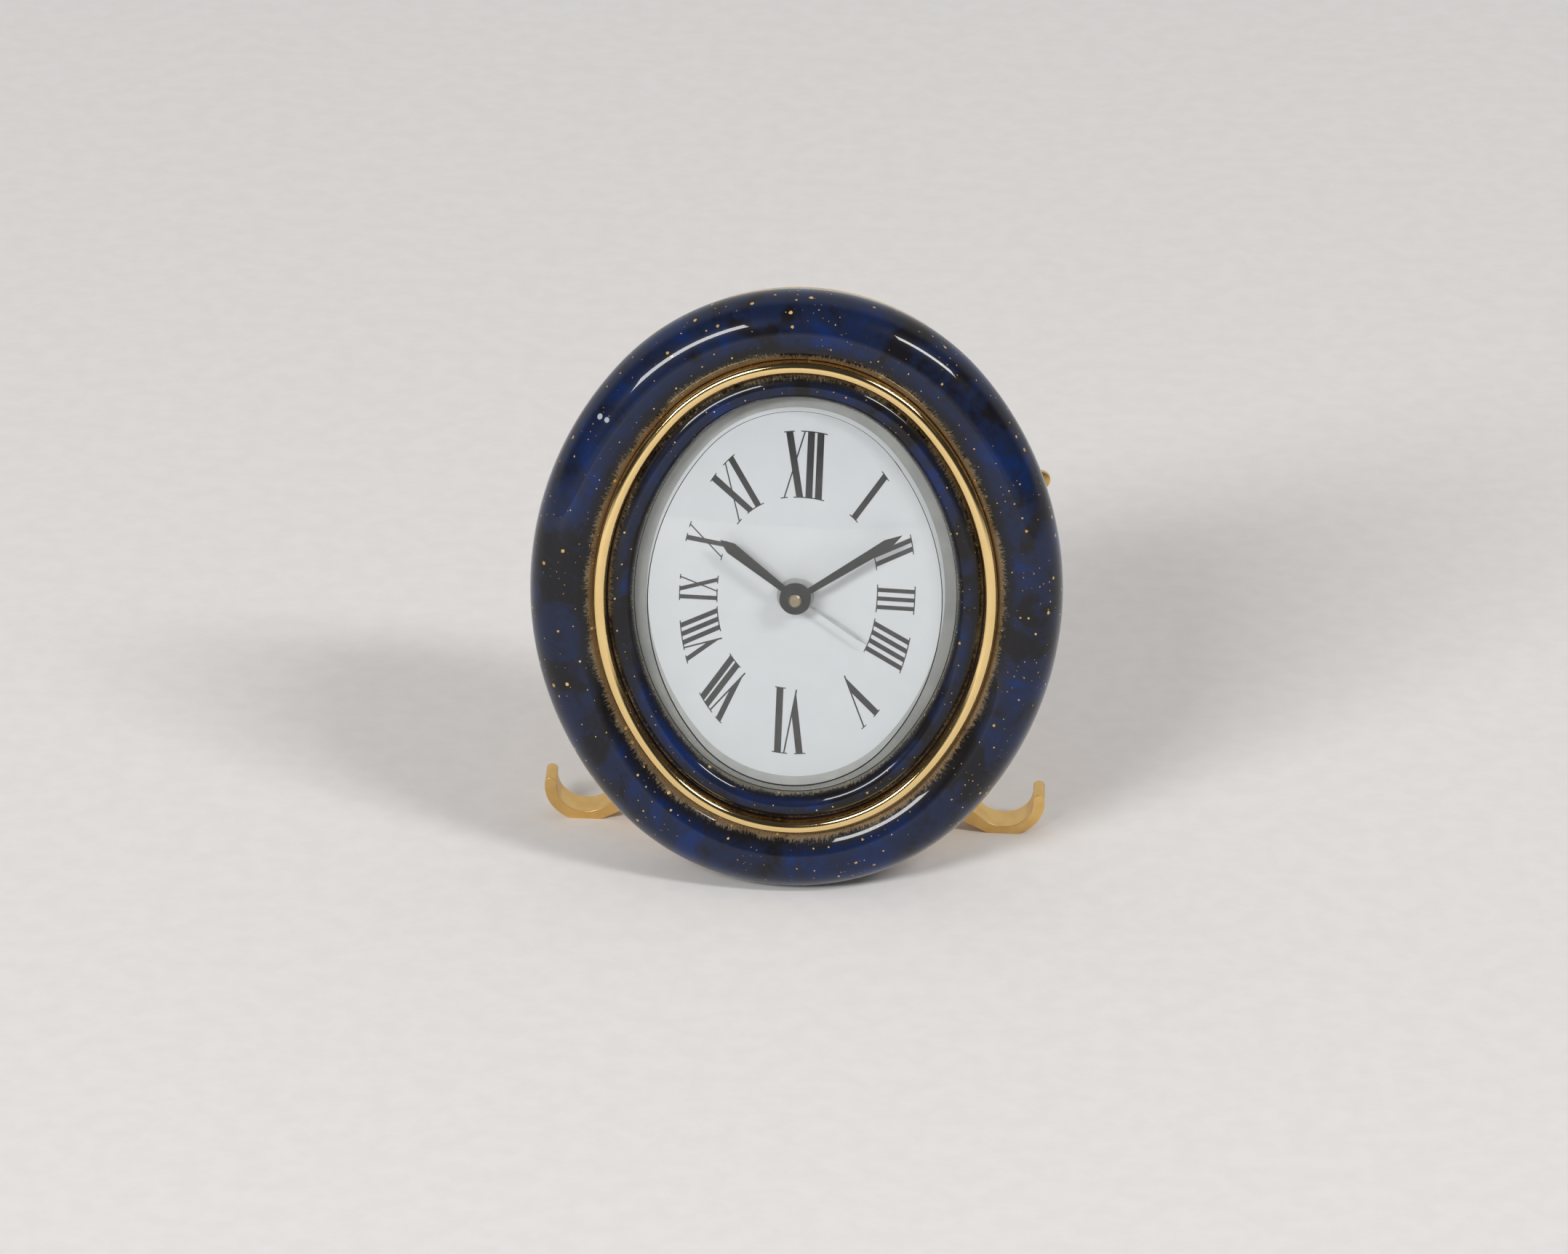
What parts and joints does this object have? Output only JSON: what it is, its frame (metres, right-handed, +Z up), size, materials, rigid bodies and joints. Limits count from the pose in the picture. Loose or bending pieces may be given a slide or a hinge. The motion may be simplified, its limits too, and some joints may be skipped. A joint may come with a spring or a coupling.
{
  "type": "pendulette alarm clock",
  "caption": "Oval desk alarm clock with a lacquered case, bevelled glass, three hands on a printed dial and a gilt foot that folds out behind.",
  "frame": {"origin": "middle of the width and depth, on the table that the clock stands on", "axes": "+Z up, +Y away from the viewer, so the dial faces -Y and leans back 9 degrees; +X to the viewer's right"},
  "size_m": [0.077, 0.0263, 0.089],
  "materials": {
    "lacquer": "dark blue lacquer with gold flecks, high gloss",
    "gilt": "gold plated and polished",
    "gilt_satin": "gold plated and satin brushed",
    "crystal": "clear bevelled glass",
    "dial": "painted white, printed black",
    "moulding": "black moulded plastic",
    "hand_black": "black lacquered",
    "hand_pale": "thin and silvery",
    "wheel": "plain brass",
    "steel": "plain steel",
    "sounder": "thin brass disc"
  },
  "bodies": {
    "case": {"outer_bezel": "lacquer", "gilt_ring": "gilt", "inner_bezel": "lacquer", "crystal": "crystal", "dial": "dial", "movement_holder": "moulding", "back_cover": "gilt_satin", "cover_screws": "gilt_satin", "hinge_pin": "gilt", "battery": "steel", "battery_contacts": "steel", "movement_case": "moulding", "sounder": "sounder"},
    "foot": {"foot": "gilt_satin"},
    "battery_hatch": {"battery_hatch": "gilt_satin"},
    "time_knob": {"time_knob": "gilt_satin", "setting_pinion": "wheel"},
    "minute": {"minute_arbor": "wheel", "minute_hand": "hand_black"},
    "motion": {"motion_wheel": "wheel"},
    "hour": {"hour_wheel": "wheel", "hour_hand": "hand_black"},
    "alarm_knob": {"alarm_knob": "gilt_satin", "alarm_pinion": "wheel"},
    "alarm": {"alarm_wheel": "wheel", "alarm_hand": "hand_pale"},
    "alarm_slide": {"alarm_slide": "gilt"}
  },
  "joints": [
    {"name": "foot_hinge", "type": "hinge", "parent": "case", "child": "foot", "pos_m": [0, 0.00703, 0.03607], "axis": [1, 0, 0], "range_deg": [-15.5, 0]},
    {"name": "hatch_turn", "type": "hinge", "parent": "case", "child": "battery_hatch", "pos_m": [0, 0.00935, 0.06607], "axis": [0, 0.9877, -0.1564], "range_deg": [0, 60]},
    {"name": "time_knob_turn", "type": "hinge", "parent": "case", "child": "time_knob", "pos_m": [-0.00725, 0.00711, 0.05189], "axis": [0, 0.9877, -0.1564], "continuous": true},
    {"name": "minute_turn", "type": "hinge", "parent": "case", "child": "minute", "pos_m": [0, -0.00155, 0.04451], "axis": [0, 0.9877, -0.1564], "continuous": true},
    {"name": "motion_turn", "type": "hinge", "parent": "case", "child": "motion", "pos_m": [-0.0052, -0.0003, 0.04735], "axis": [0, 0.9877, -0.1564], "continuous": true},
    {"name": "hour_turn", "type": "hinge", "parent": "case", "child": "hour", "pos_m": [0, -0.00155, 0.04451], "axis": [0, 0.9877, -0.1564], "continuous": true},
    {"name": "alarm_knob_turn", "type": "hinge", "parent": "case", "child": "alarm_knob", "pos_m": [0.00463, 0.00662, 0.0488], "axis": [0, 0.9877, -0.1564], "continuous": true},
    {"name": "alarm_turn", "type": "hinge", "parent": "case", "child": "alarm", "pos_m": [0, -0.00155, 0.04451], "axis": [0, 0.9877, -0.1564], "continuous": true},
    {"name": "alarm_slide_move", "type": "slide", "parent": "case", "child": "alarm_slide", "axis": [-0.3289, 0.1477, 0.9327], "range_m": [-0.003, 0]}
  ],
  "couplings": [
    {"joint": "minute_turn", "follows": "time_knob_turn", "ratio": 1},
    {"joint": "motion_turn", "follows": "time_knob_turn", "ratio": -0.33333},
    {"joint": "hour_turn", "follows": "time_knob_turn", "ratio": 0.083333},
    {"joint": "alarm_turn", "follows": "alarm_knob_turn", "ratio": -0.33333}
  ]
}
